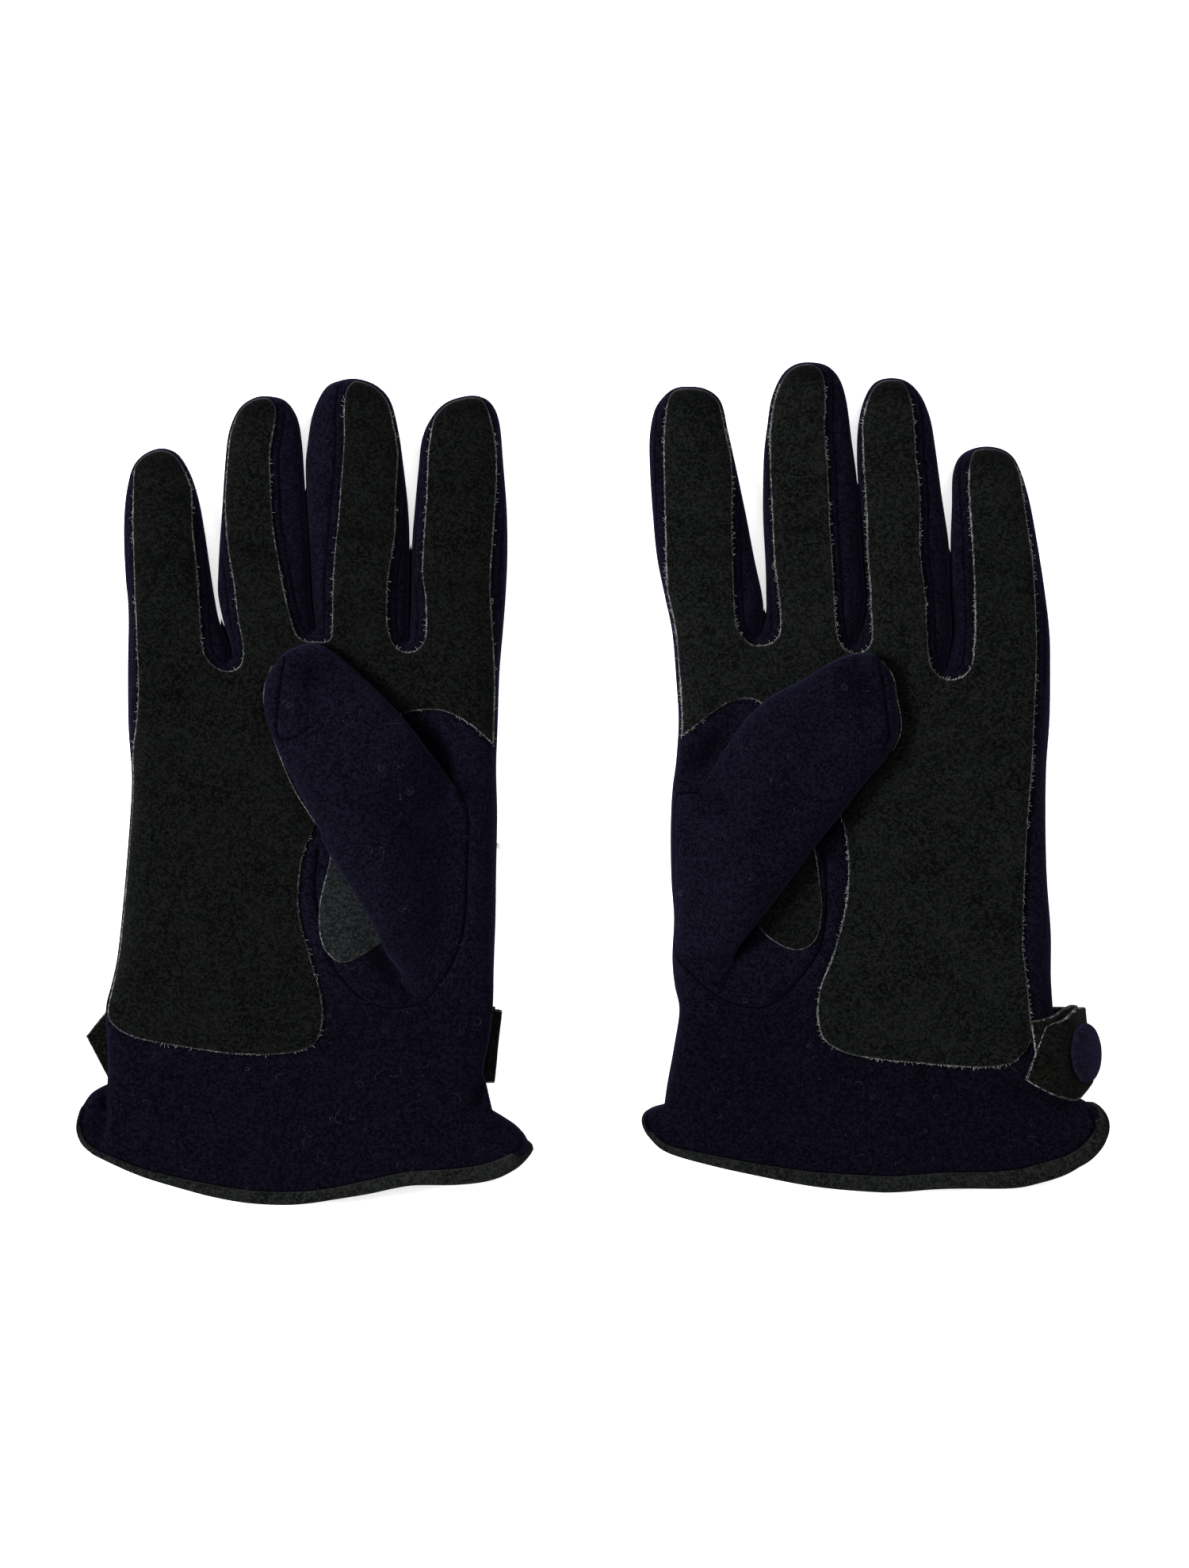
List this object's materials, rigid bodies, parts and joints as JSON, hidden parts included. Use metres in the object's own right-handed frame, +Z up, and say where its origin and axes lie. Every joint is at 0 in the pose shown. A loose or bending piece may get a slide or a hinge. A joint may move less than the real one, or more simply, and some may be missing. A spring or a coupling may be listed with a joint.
{
  "type": "riding gloves",
  "caption": "Pair of knitted fabric riding gloves lying palm up, with suede palm overlays, finger fourchettes, gusseted thumbs and a buttoned wrist strap.",
  "frame": {"origin": "on the table, under the middle of the pair's bounding box", "axes": "+X from the right-hand glove to the left-hand glove, +Y from the cuffs to the fingertips, +Z up out of the palms"},
  "size_m": [0.3106, 0.2544, 0.0275],
  "materials": {
    "knit": "brushed dark navy jersey, matt",
    "suede": "near-black grey-green suede, matt nap",
    "button_cloth": "navy cloth stretched over a domed button",
    "brass": "satin"
  },
  "bodies": {
    "right_hand": {"right_back_panel": "knit", "right_palm_panel": "knit", "right_hem_binding": "suede", "right_palm_patch": "suede", "right_gusset_patch": "suede", "right_thumb_gusset": "knit", "right_strap": "suede", "right_snap_stud": "brass"},
    "right_index": {"right_index_finger": "knit", "right_index_suede_strip": "suede", "right_index_little_side_fourchette": "knit"},
    "right_middle": {"right_middle_finger": "knit", "right_middle_suede_strip": "suede", "right_middle_thumb_side_fourchette": "knit", "right_middle_little_side_fourchette": "knit"},
    "right_ring": {"right_ring_finger": "knit", "right_ring_suede_strip": "suede", "right_ring_thumb_side_fourchette": "knit", "right_ring_little_side_fourchette": "knit"},
    "right_little": {"right_little_finger": "knit", "right_little_suede_strip": "suede", "right_little_thumb_side_fourchette": "knit"},
    "right_thumb": {"right_thumb": "knit", "right_thumb_patch": "suede"},
    "right_strap_flap": {"right_strap_flap": "suede", "right_button": "button_cloth"},
    "left_hand": {"left_back_panel": "knit", "left_palm_panel": "knit", "left_hem_binding": "suede", "left_palm_patch": "suede", "left_gusset_patch": "suede", "left_thumb_gusset": "knit", "left_strap": "suede", "left_snap_stud": "brass"},
    "left_index": {"left_index_finger": "knit", "left_index_suede_strip": "suede", "left_index_little_side_fourchette": "knit"},
    "left_middle": {"left_middle_finger": "knit", "left_middle_suede_strip": "suede", "left_middle_thumb_side_fourchette": "knit", "left_middle_little_side_fourchette": "knit"},
    "left_ring": {"left_ring_finger": "knit", "left_ring_suede_strip": "suede", "left_ring_thumb_side_fourchette": "knit", "left_ring_little_side_fourchette": "knit"},
    "left_little": {"left_little_finger": "knit", "left_little_suede_strip": "suede", "left_little_thumb_side_fourchette": "knit"},
    "left_thumb": {"left_thumb": "knit", "left_thumb_patch": "suede"},
    "left_strap_flap": {"left_strap_flap": "suede", "left_button": "button_cloth"}
  },
  "joints": [
    {"name": "right_index_bend", "type": "hinge", "parent": "right_hand", "child": "right_index", "pos_m": [-0.042, 0.04611, 0.0167], "axis": [0.9944, 0.1054, 0], "range_deg": [0, 75]},
    {"name": "right_middle_bend", "type": "hinge", "parent": "right_hand", "child": "right_middle", "pos_m": [-0.071, 0.04303, 0.0167], "axis": [0.9944, 0.1054, 0], "range_deg": [0, 75]},
    {"name": "right_ring_bend", "type": "hinge", "parent": "right_hand", "child": "right_ring", "pos_m": [-0.0997, 0.03999, 0.0167], "axis": [0.9944, 0.1054, 0], "range_deg": [0, 75]},
    {"name": "right_little_bend", "type": "hinge", "parent": "right_hand", "child": "right_little", "pos_m": [-0.1275, 0.03704, 0.0167], "axis": [0.9944, 0.1054, 0], "range_deg": [0, 75]},
    {"name": "right_thumb_swing", "type": "hinge", "parent": "right_hand", "child": "right_thumb", "pos_m": [-0.037, -0.0333, 0.017], "axis": [0, 1, 0], "range_deg": [0, 95]},
    {"name": "right_strap_open", "type": "hinge", "parent": "right_hand", "child": "right_strap_flap", "pos_m": [-0.116, -0.08, 0.00425], "axis": [0, -1, 0], "range_deg": [0, 60]},
    {"name": "left_glove_lift", "type": "slide", "parent": "right_hand", "child": "left_hand", "axis": [0, 0, 1], "range_m": [0, 0.1]},
    {"name": "left_index_bend", "type": "hinge", "parent": "left_hand", "child": "left_index", "pos_m": [0.038, 0.04809, 0.0167], "axis": [0.9871, -0.1599, 0], "range_deg": [0, 75]},
    {"name": "left_middle_bend", "type": "hinge", "parent": "left_hand", "child": "left_middle", "pos_m": [0.0666, 0.04345, 0.0167], "axis": [0.9871, -0.1599, 0], "range_deg": [0, 75]},
    {"name": "left_ring_bend", "type": "hinge", "parent": "left_hand", "child": "left_ring", "pos_m": [0.095, 0.03885, 0.0167], "axis": [0.9871, -0.1599, 0], "range_deg": [0, 75]},
    {"name": "left_little_bend", "type": "hinge", "parent": "left_hand", "child": "left_little", "pos_m": [0.123, 0.03431, 0.0167], "axis": [0.9871, -0.1599, 0], "range_deg": [0, 75]},
    {"name": "left_thumb_swing", "type": "hinge", "parent": "left_hand", "child": "left_thumb", "pos_m": [0.023, -0.0333, 0.017], "axis": [0, -1, 0], "range_deg": [0, 95]},
    {"name": "left_strap_open", "type": "hinge", "parent": "left_hand", "child": "left_strap_flap", "pos_m": [0.14907, -0.08, 0.00327], "axis": [0, 1, 0], "range_deg": [0, 80]}
  ]
}
